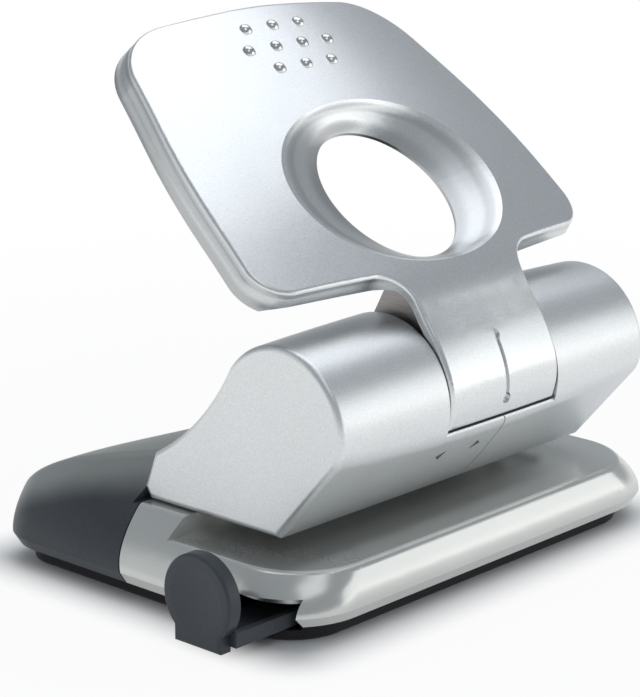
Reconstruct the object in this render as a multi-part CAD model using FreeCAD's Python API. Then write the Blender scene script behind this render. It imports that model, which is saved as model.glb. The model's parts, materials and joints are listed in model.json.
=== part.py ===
"""Two-hole desk punch with a plate lever, a barrel housing and a pull-out paper guide.

Millimetres, +Z up. X runs along the barrel, -Y is the side the paper enters from, and the
origin lies on the ground under the middle of the lever's axle.
"""
import math
import os

import FreeCAD
import Part
from FreeCAD import Vector

# ---------------------------------------------------------------- driving dimensions
# base
base_half_length = 69.4      # widest line of the cover, half of it along X
base_front = 18.4            # widest line of the cover in front of the axle
base_back = 83.0             # widest line of the tail behind the axle
base_corner_r = 19.0
base_back_corner_r = 14.0
base_foot_z = 5.0            # lower edge of the covers above the ground
base_waist_z = 7.4           # height of the widest line
base_undercut = 1.1          # how far the covers draw in under the widest line
side_draw = 11.4             # how far the side wall has drawn in at the top of the riser
front_draw = 5.6
draw_power = 1.7             # a higher value keeps the wall upright for longer
cover_wall = 1.8
table_z = 16.2               # paper table
table_edge_r = 2.2
riser_edge_r = 3.2
paper_stop_y = 27.0
parting_foot_y = 36.0        # where cover and tail meet at the lower edge
parting_top_y = 41.8         # and at the top of the riser
parting_gap = 0.4

# tail
tail_front_y = 34.0          # its form starts here and is trimmed at the parting
tail_round = 4.0
# above the riser, (height, then how far the walls have drawn in from the base's widest line:
# at the parting, at the back's corners, and at the back)
tail_walls = [(26.0, 19.9, 3.4, 5.0), (36.0, 29.4, 8.4, 13.0)]
tail_riser = (1.0, 1.8)      # the same at the riser's height: at the back's corners, and at the back
tail_lobe_in = 14.4          # from the base's widest line to the crest of a side lobe
# along Y, (y, height of the side lobes, height in the middle)
tail_ridge = [(28.0, 30.0, 29.8), (46.0, 29.2, 28.4), (60.0, 27.4, 25.4), (70.0, 24.4, 22.0),
              (77.0, 20.2, 17.6), (85.0, 11.5, 9.6)]
tail_past = 10.6             # the top is drawn this far past the base's widest line
tail_edge_drop = 2.0         # how far the top falls there, from the lobes
tail_wall_z = 11.0           # lower edge of the tail's front wall
tail_seat_drop = 3.0         # the wall behind the barrel's lip starts this far under the riser's top
tail_lip_drop = 0.2          # and the room for the lip this far

# tray
tray_inset = 4.4
tray_wall = 1.6
tray_floor = 1.5
tray_rim_z = 7.0
tray_edge_r = 1.0
tray_gate_x = 40.0           # the gate for the guide's bar runs from the end to here
tray_gate_gap = 2.0
tray_gate_drop = 0.6

# barrel housing
axis_z = 46.2                # lever axle above the ground
mouth_height = 4.5           # free height of the paper mouth
barrel_half = 55.5
barrel_end_r = 18.8
barrel_mid_r = 19.9
barrel_wall = 1.8
barrel_edge_r = 1.6
cheek_end_deg = 14.0         # below level, where the round front meets the taper, at the ends
cheek_mid_deg = 22.0         # and in the middle
cheek_r = 7.5                # round between them
lip_y = 43.2                 # rear lip
lip_top_z = 32.4
lip_lean = 3.5
heel_height = 3.0            # of the lip's bevelled foot
heel_lean = 1.8
# shares of the wall by which the section's corners move in
vertex_share = 0.45
lip_share_y = 0.8
lip_share_z = 1.2
heel_share = 0.7
sweep_start_deg = 54.0       # from straight up, where the round back turns into the sweep
sweep_sag = 2.1
window_back_y = 33.0
window_heel_y = 22.0         # the window's lower line runs from here to the back at window_heel_z
window_heel_z = 34.0
window_chamfer = 0.45
parting_shift = 8.0          # how far the parting line runs to the right at the vertex
shell_seam = 0.3
floor_rim = 0.5              # of the floor's opening, from the end walls
floor_back = 4.0             # and from the lip
floor_rise = 0.2             # and how far it is cleared above the floor
seat_gap = 0.3

# lever
plate_tilt_deg = 40.0
plate_height = 27.4          # plate above the axle, square to the plate
plate_mid_s = 50.0
plate_bow = 0.0011           # lengthwise drop per square millimetre
plate_crown = 0.00128        # crosswise drop per square millimetre, at the axle
plate_crown_gain = 8.0e-6    # and how much it grows per millimetre up the plate
plate_end_s = 99.8
plate_end_r = 220.0
# corners of the plate's outline, (half width, place along the plate, round)
plate_side = [(57.8, 19.7, 10.0), (56.0, 55.0, 150.0), (45.0, 98.0, 19.0)]
# the neck's outer line, (degrees up from the front, radius), before it turns into the plate
neck_line = [(-20.0, 19.3), (-3.0, 20.1), (10.0, 20.7), (23.0, 21.0), (36.0, 21.4), (49.0, 22.4),
             (60.0, 24.0), (68.0, 26.2)]
plate_stations = (13.5, 20.0, 35.0, 50.0, 65.0, 80.0, 92.0, 105.8)
slab_half = 66.0             # half the width that the crowned form is drawn to
skin = 1.6
rim_depth = 6.2
neck_rim_depth = 2.4         # of the neck's sides and of the rim beside the barrel
rim_clear_r = 26.4           # the deep rim stays this far from the axle
rim_flare = 0.17             # how far the rim leans out per millimetre down
rim_lip_h = 20.0             # height of its lip above the axle, where the outline is given
prism_low = -12.0            # the outline's prism starts here, under the neck's foot
prism_high = 30.0            # and ends here, over the plate
neck_half = 19.5
neck_foot_s = -40.0          # the neck's outline runs this far down, past its foot
neck_top_s = 14.9            # corner between neck and plate
neck_fillet_r = 9.0
neck_low_deg = 15.0          # below level, lower edge of the neck
neck_side_gap = 0.4
neck_low_gap_deg = 1.2
barrel_clearance = 0.8
face_round = 1.0
hole_half_x = 33.8
hole_half_s = 24.6
hole_mid_s = 39.8
throat_half_x = 18.4
throat_half_s = 19.4
throat_h = 21.4              # throat above the axle, square to the plate
hole_side_h = 25.8           # height of the face where the dish is widest
hole_end_h = 26.9            # and at its upper and lower end
throat_lip = 0.8
throat_over = 3.0            # the dish's cone is drawn this far past the face
dish_skin = 0.7
groove_half = 0.6
groove_depth = 0.7
groove_from_deg = -2.0
groove_to_deg = 40.0
groove_dimple_r = 1.3
stud_r = 1.7
stud_height = 1.0
stud_pitch_x = 9.1
stud_pitch_s = 6.85
stud_mid_s = 84.6
web_thickness = 1.6
web_reach = 19.5             # how far up the plate the side flanges run
web_back_y = 11.0
web_gap = 0.1                # between a flange and the skin's side
web_skin_gap = 0.02          # and under the skin
web_foot_deg = 1.5           # the flanges end this far above the neck's lower edge
web_back_deg = 170.0         # and here at the back, from the front
web_slab = 60.0              # depth under the face in which they are drawn
drum_r = 14.6
saddle_r = 17.6              # block between drum and skin
saddle_back_deg = 100.0
lever_angle_deg = 32.0

# mechanism
pin_spacing = 80.0
pin_depth = 12.0             # hole centre to paper edge
pin_r = 3.0
running_fit = 0.05
pin_head_r = 5.2
pin_head_h = 2.2
pin_head_chamfer = 0.4
pin_notch_rise = 1.6         # depth of the hollow grinding
pin_tip_lift = 0.7           # retracted tip above the mouth's ceiling
cam_rest_drop = 3.0          # cam contact below the axle at rest
cam_width = 6.0
cam_margin_deg = 4.0
cam_root_low = (4.0, -1.5)   # corners of the lobe's root, from the axle
cam_root_high = (3.0, 7.2)
cam_tip = (0.1, 0.9)         # corners of its nose, from the end of the flank
cam_shoulder = (-2.2, 3.2)
cam_collar_wall = 2.4
cam_seat = 0.02              # between the collar and the lever's tube
tube_r = 5.8
tube_end_gap = 1.0           # from the lever's tube to the bracket
axle_r = 3.0
axle_end = 2.5               # how far the axle stands out of the bracket
clip_r = 4.6
clip_t = 0.8
clip_gap = 0.1               # between bracket and clip
clip_mouth_half = 1.6
bracket_t = 2.5
bracket_x = 46.0             # inner face
bracket_front_y = -2.0       # of its foot
bracket_back = 0.8           # the foot reaches this far past the parting's foot
bracket_spine = 1.2          # from the wall that stops the paper
bracket_heel = 4.0           # height of its back above the riser
bracket_head = [(12.0, 7.0), (-3.0, 8.0), (-7.5, 2.5), (-7.5, -3.0)]  # corners about the axle
bracket_throat = (2.0, 9.0)  # corner above the rail
bracket_seat = 0.6           # over the rail's underside, behind the rail
bracket_table_gap = 0.2
bracket_room = 4.5           # between the bracket and the riser's opening
opening_rim = 0.2            # left standing behind the riser's front wall
opening_back = 1.5           # and in front of the parting
rail_t = 2.2                 # stripper rail
rail_half_y = 6.0
rail_end_gap = 0.02
block_h = 4.3
block_half = 5.6
block_round = 2.0
die_half = 5.6
die_land = 2.5               # length of the bore under the table, above the wider chip hole
die_hole_extra = 0.08
die_neck_wall = 0.5
die_neck_gap = 0.1
chip_hole_r = 4.0
spring_wire = 0.9
spring_turns = 5.0
spring_gap = 0.05            # at both ends
plate_t = 1.6                # steel base plate
plate_z = 8.0                # its underside
plate_rim = 0.6              # it lies this far inside the tray's wall
plate_tail = 14.0            # and runs this far past the parting
screw_back = (50.0, 8.0)     # half the distance between the screws, and how far past the parting
screw_front = (52.0, 22.0)   # half the distance, and the place behind the axle
screw_head_r = 3.2
screw_head_h = 1.6
screw_slot_half = 0.4
screw_slot_depth = 0.7

# paper guide
guide_disc_r = 10.2
guide_disc_t = 3.6
guide_rim_round = 0.8
guide_dish_r = 50.0          # of the ball that hollows the disc's face
guide_dish_depth = 0.6
guide_face_x = 80.0
guide_root = 0.5             # how far the bar runs into the disc
guide_disc_y = 1.4
guide_disc_z = 13.0
guide_foot_z = 1.8
guide_foot_half = 7.0
guide_bar_y0 = -7.8
guide_bar_y1 = 5.6
guide_bar_z0 = 3.2
guide_bar_t = 1.7
guide_lip_z = 6.6
guide_notch_front = -13.0
guide_notch_back = 9.0
guide_notch_z = 11.4
guide_notch_x = 50.0         # the notch runs this far in
strap_t = 0.9
strap_half = 5.0
strap_flange = 5.0           # ears beside the bar
strap_places = (-44.0, 6.0)
guide_bar_end = 52.0
guide_slot_fit = 0.3

# ---------------------------------------------------------------- derived places
mouth_z = table_z + mouth_height
riser_z = mouth_z - seat_gap
pin_y = paper_stop_y - pin_depth
pin_x = pin_spacing / 2.0
pin_tip_z = mouth_z + pin_tip_lift
pin_top_z = axis_z - cam_rest_drop
tilt = math.radians(plate_tilt_deg)
window_half = neck_half + neck_side_gap
window_low_deg = neck_low_deg + neck_low_gap_deg
web_x = neck_half - skin - web_gap - web_thickness
web_back_z = axis_z + drum_r / 2
tube_half = bracket_x - tube_end_gap
axle_half = bracket_x + bracket_t + axle_end
FAR = 200.0                  # reach of cutting blocks, past everything
PAST = 1.0                   # how far a cut runs on past the face it opens
NEAR = 0.01                  # what lies nearer than this to a plane lies in it


def export(name, shape):
    """Write one node, after a check that it is one sound solid or a few of them."""
    solids = shape.Solids
    if not solids or not shape.isValid():
        raise RuntimeError("bad shape: " + name)
    shape.exportStep("parts/" + name + ".step")
    print("%-20s solids %d volume %.0f" % (name, len(solids), shape.Volume))


def box(x0, x1, y0, y1, z0, z1):
    return Part.makeBox(x1 - x0, y1 - y0, z1 - z0, Vector(x0, y0, z0))


def rod_x(radius, x0, x1, y=0.0, z=axis_z):
    return Part.makeCylinder(radius, x1 - x0, Vector(x0, y, z), Vector(1, 0, 0))


def rod_z(radius, z0, z1, x, y):
    return Part.makeCylinder(radius, z1 - z0, Vector(x, y, z0))


def prism_x(points, x0, x1):
    """A closed (y, z) polygon drawn along X."""
    loop = [Vector(x0, y, z) for y, z in points]
    wire = Part.makePolygon(loop + loop[:1])
    return Part.Face(wire).extrude(Vector(x1 - x0, 0, 0))


def mirrored(shape):
    return shape.mirror(Vector(0, 0, 0), Vector(1, 0, 0))


def curve(points):
    spline = Part.BSplineCurve()
    spline.interpolate(points)
    return spline.toShape()


def line(a, b):
    return Part.LineSegment(a, b).toShape()


def rounded_wire(corners, place):
    """Closed wire through flat (x, y, radius) corners, each rounded, put in space by place."""
    cuts = []
    for i, (x, y, r) in enumerate(corners):
        p = Vector(x, y, 0)
        before = corners[i - 1]
        after = corners[(i + 1) % len(corners)]
        if r == 0.0:
            cuts.append((p, p, p))
            continue
        u = (Vector(before[0], before[1], 0) - p).normalize()
        v = (Vector(after[0], after[1], 0) - p).normalize()
        half = math.acos(u.dot(v)) / 2.0
        centre = p + (u + v).normalize() * (r / math.sin(half))
        reach = r / math.tan(half)
        cuts.append((p + u * reach, centre + (p - centre).normalize() * r, p + v * reach))
    edges = []
    for i, (start, middle, end) in enumerate(cuts):
        if start != end:
            edges.append(Part.Arc(place(start), place(middle), place(end)).toShape())
        edges.append(line(place(end), place(cuts[(i + 1) % len(cuts)][0])))
    return Part.Wire(edges)


# ---------------------------------------------------------------- base
def draw_in(z, at_riser):
    """How far the covers' wall lies inside the widest line at height z."""
    if z < base_waist_z:
        return base_undercut * (base_waist_z - z) / (base_waist_z - base_foot_z)
    return at_riser * ((z - base_waist_z) / (riser_z - base_waist_z)) ** draw_power


def base_outline(z, inset=0.0, back=base_back):
    """Rounded rectangle of the covers at height z, drawn in by inset."""
    side = draw_in(z, side_draw)
    front = draw_in(z, front_draw)
    x = base_half_length - side - inset
    y0 = -(base_front - front - inset)
    y1 = back - inset
    r = base_corner_r - inset
    back_r = base_back_corner_r - inset

    def at_height(p):
        return Vector(p.x, p.y, z)

    return rounded_wire([(x, y1, back_r), (-x, y1, back_r), (-x, y0, r), (x, y0, r)], at_height)


def base_form(top_z, inset=0.0, foot_z=base_foot_z):
    """Solid inside the covers' outline from the foot to top_z."""
    waist = base_outline(base_waist_z, inset)
    lower = Part.makeLoft([base_outline(foot_z, inset), waist], True, True)
    levels = 4
    rise = (top_z - base_waist_z) / levels
    stack = [base_outline(base_waist_z + rise * i, inset) for i in range(levels + 1)]
    upper = Part.makeLoft(stack, True, False)
    return lower.fuse(upper)


def parting_y(z):
    """Where the slanted parting face lies at height z."""
    return parting_foot_y + (parting_top_y - parting_foot_y) * (z - base_foot_z) / (riser_z - base_foot_z)


def parting_block(y_shift, forward):
    """Everything in front of the slanted parting face, or behind it."""
    far = -FAR if forward else FAR
    low = -base_foot_z
    high = FAR
    near_low = parting_y(low) + y_shift
    near_high = parting_y(high) + y_shift
    return prism_x([(near_low, low), (near_high, high), (far, high), (far, low)],
                   -FAR, FAR)


def stepped(form, table, stop_y):
    """Cut the mouth's step out of a base form."""
    return form.cut(box(-FAR, FAR, -FAR, stop_y, table, FAR))


def flat_edges(shape, z):
    """The edges that lie level at height z."""
    return [e for e in shape.Edges if e.BoundBox.ZLength < NEAR and abs(e.BoundBox.ZMin - z) < NEAR]


def upright_edges(shape, x):
    """The edges that lie in the plane across the barrel at x."""
    return [e for e in shape.Edges if e.BoundBox.XLength < NEAR and abs(e.BoundBox.XMin - x) < NEAR]


def base_cover():
    outer = stepped(base_form(riser_z), table_z, paper_stop_y)
    outer = outer.common(parting_block(-parting_gap / 2, True))
    table_rim = [e for e in flat_edges(outer, table_z) if e.BoundBox.YMin < paper_stop_y - PAST]
    outer = outer.makeFillet(table_edge_r, table_rim)
    riser_sides = [e for e in flat_edges(outer, riser_z) if e.BoundBox.YLength > e.BoundBox.XLength]
    outer = outer.makeFillet(riser_edge_r, riser_sides)
    inner = stepped(base_form(riser_z - cover_wall, cover_wall, base_foot_z - PAST),
                    table_z - cover_wall, paper_stop_y + cover_wall)
    cover = outer.cut(inner)
    for side in (-1, 1):
        neck_r = pin_r + die_neck_wall + die_neck_gap
        cover = cover.cut(rod_z(neck_r, plate_z, table_z + PAST, side * pin_x, pin_y))
    # opening in the riser that the brackets rise through
    opening_half = bracket_x + bracket_t + bracket_room
    cover = cover.cut(box(-opening_half, opening_half, paper_stop_y + cover_wall + opening_rim,
                          parting_top_y - opening_back, table_z, FAR))
    # notch in the left wall for the paper guide
    return cover.cut(box(-FAR, -guide_notch_x, guide_notch_front, guide_notch_back, 0, guide_notch_z))


def tail_outline(z, half_front, half_back, back, inset):
    """Outline of the tail's walls at height z: they spread from the parting to the rounded back."""
    start = parting_y(z)
    spread = (half_back - half_front) / (back - start)
    front = half_front - spread * (start - tail_front_y) - inset
    y1 = back - inset
    half = half_back - inset
    r = base_back_corner_r - inset

    def at_height(p):
        return Vector(p.x, p.y, z)

    return rounded_wire([(front, tail_front_y, 0.0), (half, y1, r), (-half, y1, r),
                         (-front, tail_front_y, 0.0)], at_height)


def tail_sides(inset):
    """The tail's walls, drawn up past its top."""
    riser_half = base_half_length - tail_riser[0]
    riser_back = base_back - tail_riser[1]
    foot_half = base_half_length - base_undercut
    foot = tail_outline(base_foot_z, foot_half, foot_half, base_back - base_undercut, inset)
    stack = [tail_outline(base_waist_z, base_half_length, base_half_length, base_back, inset)]
    steps = 3
    for i in range(1, steps + 1):
        share = i / steps
        z = base_waist_z + (riser_z - base_waist_z) * share
        half = base_half_length + (riser_half - base_half_length) * share ** draw_power
        back = base_back + (riser_back - base_back) * share ** draw_power
        stack.append(tail_outline(z, base_half_length - draw_in(z, side_draw), half, back, inset))
    for z, front_in, corner_in, back_in in tail_walls:
        stack.append(tail_outline(z, base_half_length - front_in, base_half_length - corner_in,
                                  base_back - back_in, inset))
    lower = Part.makeLoft([foot, stack[0]], True, True)
    return lower.fuse(Part.makeLoft(stack, True, False))


def tail_top(sink):
    """Everything under the tail's top, which falls to the back and dips along its middle."""
    lobe_x = base_half_length - tail_lobe_in
    reach = base_half_length + tail_past
    wires = []
    for y, lobe_z, middle_z in tail_ridge:
        lobe = lobe_z - sink
        middle = middle_z - sink
        edge = lobe - tail_edge_drop
        crown = curve([Vector(-reach, y, edge), Vector(-lobe_x, y, lobe), Vector(0, y, middle),
                       Vector(lobe_x, y, lobe), Vector(reach, y, edge)])
        wires.append(Part.Wire([crown, line(Vector(reach, y, edge), Vector(reach, y, 0)),
                                line(Vector(reach, y, 0), Vector(-reach, y, 0)),
                                line(Vector(-reach, y, 0), Vector(-reach, y, edge))]))
    return Part.makeLoft(wires, True, False)


def rear_cover():
    outer = tail_sides(0.0).common(tail_top(0.0)).removeSplitter()
    above = [f for f in outer.Faces if f.CenterOfMass.z > riser_z]
    top_face = max(above, key=lambda face: face.BoundBox.XLength * face.BoundBox.YLength)
    rim = [e for e in top_face.Edges if e.BoundBox.YMax > tail_front_y + PAST]
    outer = outer.makeFillet(tail_round, rim)
    inner = tail_sides(cover_wall).common(tail_top(cover_wall))
    # front wall behind the parting and the barrel's lip, open below for the base plate
    wall = parting_block(cover_wall, True).common(box(-FAR, FAR, -FAR, FAR, tail_wall_z, FAR))
    inner = inner.cut(wall)
    inner = inner.cut(box(-FAR, FAR, -FAR, lip_y + seat_gap + cover_wall, riser_z - tail_seat_drop, FAR))
    shell = outer.cut(inner)
    shell = shell.common(parting_block(parting_gap / 2, False))
    # clear of the barrel's lip
    return shell.cut(box(-FAR, FAR, -FAR, lip_y + seat_gap, riser_z - tail_lip_drop, FAR))


def chip_tray():
    outer = Part.Face(base_outline(base_foot_z, tray_inset)).extrude(Vector(0, 0, tray_rim_z))
    outer.translate(Vector(0, 0, -base_foot_z))
    inner = Part.Face(base_outline(base_foot_z, tray_inset + tray_wall)).extrude(Vector(0, 0, tray_rim_z))
    inner.translate(Vector(0, 0, tray_floor - base_foot_z))
    tray = outer.cut(inner)
    tray = tray.makeFillet(tray_edge_r, flat_edges(tray, 0.0))
    # room for the paper guide's bar
    return tray.cut(box(-FAR, -tray_gate_x, guide_bar_y0 - tray_gate_gap, guide_bar_y1 + tray_gate_gap,
                        guide_bar_z0 - tray_gate_drop, FAR))


# ---------------------------------------------------------------- barrel
def barrel_radius(x):
    return barrel_mid_r - (barrel_mid_r - barrel_end_r) * (x / barrel_half) ** 2


def cheek_deg(x):
    return cheek_mid_deg - (cheek_mid_deg - cheek_end_deg) * (x / barrel_half) ** 2


def cheek_round(centre, r, cheek, vertex, round_r):
    """Arc that leads from the taper into the round front, tangent to both."""
    down = (vertex - cheek).normalize()
    inward = Vector(0, -down.z, down.y)
    start = cheek + inward * round_r - centre
    along = start.dot(down)
    reach = (r - round_r) ** 2 - (start - down * along).Length ** 2
    hub = centre + start - down * (along + math.sqrt(reach))
    top = (hub - centre).normalize()
    low = inward * -1.0
    middle = (top + low).normalize()
    return hub + low * round_r, hub + middle * round_r, hub + top * round_r


def barrel_section(x, inset=0.0):
    """Teardrop section: round front and top, straight taper, flat bottom, swept back."""
    r = barrel_radius(x) - inset
    bottom = mouth_z + inset
    low = math.radians(cheek_deg(x))
    start = math.radians(sweep_start_deg)

    def on_circle(a):
        return Vector(x, r * math.sin(a), axis_z + r * math.cos(a))

    cheek = on_circle(-math.pi / 2 - low)
    crown = on_circle(0.0)
    sweep_a = on_circle(start)
    taper = math.atan2(cheek.z - bottom, -cheek.y)
    vertex = Vector(x, inset * vertex_share, bottom)
    round_low, round_mid, round_top = cheek_round(Vector(x, 0, axis_z), r, cheek, vertex, cheek_r - inset)
    lip = Vector(x, lip_y - lip_lean - inset * lip_share_y, lip_top_z - inset * lip_share_z)
    heel_top = Vector(x, lip_y - inset, mouth_z + heel_height + inset * heel_share)
    heel = Vector(x, lip_y - heel_lean - inset, bottom)
    mid = (sweep_a + lip) * 0.5 + Vector(0, -sweep_sag * math.cos(taper), -sweep_sag)
    edges = [Part.Arc(round_top, crown, sweep_a).toShape(), Part.Arc(sweep_a, mid, lip).toShape(),
             line(lip, heel_top), line(heel_top, heel), line(heel, vertex), line(vertex, round_low),
             Part.Arc(round_low, round_mid, round_top).toShape()]
    return Part.Wire(edges)


def barrel_form(inset=0.0):
    reach = barrel_half - inset
    stations = [-reach, -reach / 2, 0.0, reach / 2, reach]
    return Part.makeLoft([barrel_section(x, inset) for x in stations], True, False)


def window():
    """The lever's window over the front, top and back of the barrel."""
    low = math.radians(window_low_deg)
    front = (-FAR, axis_z - FAR * math.tan(low))
    points = [(0.0, axis_z), front, (-FAR, axis_z + FAR), (window_back_y, axis_z + FAR),
              (window_back_y, window_heel_z), (window_heel_y, window_heel_z)]
    return prism_x(points, -window_half, window_half)


def shell_side(right):
    """The space to one side of the curved parting line between the shells."""
    far = FAR if right else -FAR
    half_seam = math.copysign(shell_seam / 2, far)
    drop = axis_z - mouth_z
    steps = 6
    points = []
    for i in range(steps + 1):
        share = i / steps
        shift = parting_shift * math.sin(share * math.pi / 2) ** 2
        points.append(Vector(shift + half_seam, -FAR, axis_z - drop * share))
    foot = points[-1] - Vector(0, 0, table_z)
    corners = [points[-1], foot, Vector(far, -FAR, foot.z), Vector(far, -FAR, FAR)]
    corners += [Vector(half_seam, -FAR, FAR), points[0]]
    sides = [line(a, b) for a, b in zip(corners, corners[1:])]
    return Part.Face(Part.Wire([curve(points)] + sides)).extrude(Vector(0, 2 * FAR, 0))


def housing(right):
    outer = barrel_form()
    ends = upright_edges(outer, -barrel_half) + upright_edges(outer, barrel_half)
    outer = outer.makeFillet(barrel_edge_r, ends)
    shell = outer.cut(barrel_form(barrel_wall))
    shell = shell.cut(window())
    low = math.radians(window_low_deg)
    front_edges = []
    for edge in shell.Edges:
        middle = edge.CenterOfMass
        on_low_face = abs(middle.z - axis_z - middle.y * math.tan(low)) < NEAR
        if on_low_face and middle.y < -barrel_end_r + barrel_wall and edge.BoundBox.XLength > window_half:
            front_edges.append(edge)
    shell = shell.makeChamfer(window_chamfer, front_edges)
    # the floor is open over the stripper rail and the riser
    inside = barrel_half - barrel_wall - floor_rim
    shell = shell.cut(box(-inside, inside, pin_y - rail_half_y - seat_gap, lip_y - floor_back,
                          mouth_z - PAST, mouth_z + barrel_wall + floor_rise))
    return shell.common(shell_side(right))


# ---------------------------------------------------------------- lever
def from_plate(x, s, h):
    """Point at x across, s along the plate from the axle, h above the axle."""
    return Vector(x, s * math.cos(tilt) - h * math.sin(tilt),
                  axis_z + s * math.sin(tilt) + h * math.cos(tilt))


def plate_coordinates(point):
    """The (s, h) of a point, the reverse of from_plate."""
    z = point.z - axis_z
    return point.y * math.cos(tilt) + z * math.sin(tilt), z * math.cos(tilt) - point.y * math.sin(tilt)


def lever_profile():
    """Outer line of the lever at mid width, (s, h), from under the neck's foot past the plate's tip."""
    points = []
    for deg, r in neck_line:
        a = math.radians(deg - (90.0 - plate_tilt_deg))
        points.append((r * math.sin(a), r * math.cos(a)))
    for s in plate_stations:
        points.append((s, plate_height - plate_bow * (s - plate_mid_s) ** 2))
    return points


def offset_line(points, depth):
    """The same line moved square to itself towards the axle by depth."""
    result = []
    last = len(points) - 1
    for i, (s, h) in enumerate(points):
        s0, h0 = points[max(i - 1, 0)]
        s1, h1 = points[min(i + 1, last)]
        length = math.hypot(s1 - s0, h1 - h0)
        result.append((s + depth * (h1 - h0) / length, h - depth * (s1 - s0) / length))
    return result


def crown_drop(x, s):
    """How far the plate's face lies under its middle line at x across."""
    return (plate_crown + plate_crown_gain * max(s, 0.0)) * x * x


def lever_slab(depth, lift=0.0):
    """The crowned lever as a slab, from lift above its face to depth below it."""
    face = offset_line(lever_profile(), -lift)
    back = offset_line(lever_profile(), depth)
    wires = []
    for x in (-slab_half, -slab_half / 2, 0.0, slab_half / 2, slab_half):
        top = [from_plate(x, s, h - crown_drop(x, s)) for s, h in face]
        low = [from_plate(x, s, h - crown_drop(x, s)) for s, h in back]
        wires.append(Part.Wire([curve(top), line(top[-1], low[-1]), curve(low[::-1]), line(low[0], top[0])]))
    return Part.makeLoft(wires, True, False)


def plate_outline(h, lean, inset):
    """Wire of the lever's outline at height h: the plate's sides lean out, the neck's are upright."""
    right = [(neck_half, neck_foot_s, 0.0), (neck_half, neck_top_s, neck_fillet_r)] + plate_side
    loop = right + [(0.0, plate_end_s, plate_end_r)] + [(-x, s, r) for x, s, r in reversed(right)]
    count = len(loop)

    def outward(i):
        """Normal of the side from corner i to the next, and how far it moves."""
        dx = loop[(i + 1) % count][0] - loop[i][0]
        ds = loop[(i + 1) % count][1] - loop[i][1]
        length = math.hypot(dx, ds)
        upright = dx == 0.0 or ds == 0.0
        return ds / length, -dx / length, -inset if upright else lean - inset

    corners = []
    for i, (x, s, r) in enumerate(loop):
        ax, as_, a_move = outward(i - 1)
        bx, bs, b_move = outward(i)
        cross = ax * bs - as_ * bx
        moved_x = x + (a_move * bs - b_move * as_) / cross
        moved_s = s + (b_move * ax - a_move * bx) / cross
        # outer corners grow with the outline, the neck's inner ones shrink with it
        grown = r + (lean - inset if cross > 0 else inset)
        corners.append((moved_x, moved_s, grown if r else 0.0))
    return rounded_wire(corners, lambda p: from_plate(p.x, p.y, h))


def oval(half_x, half_s, h):
    """Closed ellipse at height h over the axle, parallel to the plate."""
    place = FreeCAD.Matrix()
    place.scale(half_x, half_s, 1.0)
    place.rotateX(tilt)
    place.move(from_plate(0.0, hole_mid_s, h))
    return Part.Wire([Part.makeCircle(1.0)]).transformGeometry(place)


def dish(sink):
    """Cone of the dished finger hole and the throat under it, sunk by sink."""
    rise = plate_height + throat_over - throat_h
    high_x = throat_half_x + (hole_half_x - throat_half_x) * rise / (hole_side_h - throat_h)
    high_s = throat_half_s + (hole_half_s - throat_half_s) * rise / (hole_end_h - throat_h)
    return Part.makeLoft([oval(throat_half_x, throat_half_s, throat_h - sink),
                          oval(high_x, high_s, throat_h + rise - sink)], True, True)


def throat(grow, low_h, high_h):
    return Part.makeLoft([oval(throat_half_x + grow, throat_half_s + grow, low_h),
                          oval(throat_half_x + grow, throat_half_s + grow, high_h)], True, True)


def wedge(from_deg, to_deg, half_width):
    """Sector about the axle, degrees up from the front."""
    rim = [(0.0, axis_z)]
    steps = 12
    for i in range(steps + 1):
        a = math.radians(from_deg + (to_deg - from_deg) * i / steps)
        rim.append((-FAR * math.cos(a), axis_z + FAR * math.sin(a)))
    return prism_x(rim, -half_width, half_width)


def lever_prism(inset):
    """Prism over the lever's outline, its sides leaning out towards the lip."""
    ends = [plate_outline(h, rim_flare * (rim_lip_h - h), inset) for h in (prism_low, prism_high)]
    return Part.makeLoft(ends, True, True)


def neck_groove():
    """Shallow line down the neck with a round dimple at both ends."""
    line_form = wedge(groove_from_deg, groove_to_deg, groove_half)
    for deg in (groove_from_deg, groove_to_deg):
        a = math.radians(deg)
        outward = Vector(0, -math.cos(a), math.sin(a))
        dimple = Part.makeCylinder(groove_dimple_r, FAR, Vector(0, 0, axis_z), outward)
        line_form = line_form.fuse(dimple)
    return lever_slab(groove_depth, PAST).common(line_form)


def lever_plate():
    shell = lever_slab(rim_depth).common(lever_prism(0.0))
    shell = shell.cut(wedge(-90.0, -neck_low_deg, FAR)).removeSplitter()
    upper = [f for f in shell.Faces if plate_coordinates(f.CenterOfMass)[1] > rim_lip_h]
    face = max(upper, key=lambda f: f.Area)
    shell = shell.makeFillet(face_round, face.Edges)
    beside_barrel = rod_x(rim_clear_r, -FAR, FAR).cut(lever_slab(neck_rim_depth, rim_depth))
    shell = shell.cut(beside_barrel)
    hollow = lever_slab(rim_depth + PAST).cut(lever_slab(skin)).common(lever_prism(skin))
    plate = shell.cut(hollow)
    cup = dish(dish_skin).common(lever_slab(rim_depth + PAST))
    lip = throat(dish_skin, throat_h - throat_lip, throat_h)
    plate = plate.fuse(cup).fuse(lip)
    plate = plate.cut(dish(0.0)).cut(throat(0.0, throat_h - rim_depth, throat_h + throat_lip))
    clear_r = barrel_mid_r + barrel_clearance
    for side in (-1, 1):
        x0, x1 = sorted((side * (neck_half + NEAR), side * barrel_half))
        plate = plate.cut(rod_x(clear_r, x0, x1))
    return plate.cut(neck_groove())


def face_point(x, s):
    return from_plate(x, s, plate_height - plate_bow * (s - plate_mid_s) ** 2 - crown_drop(x, s))


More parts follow.
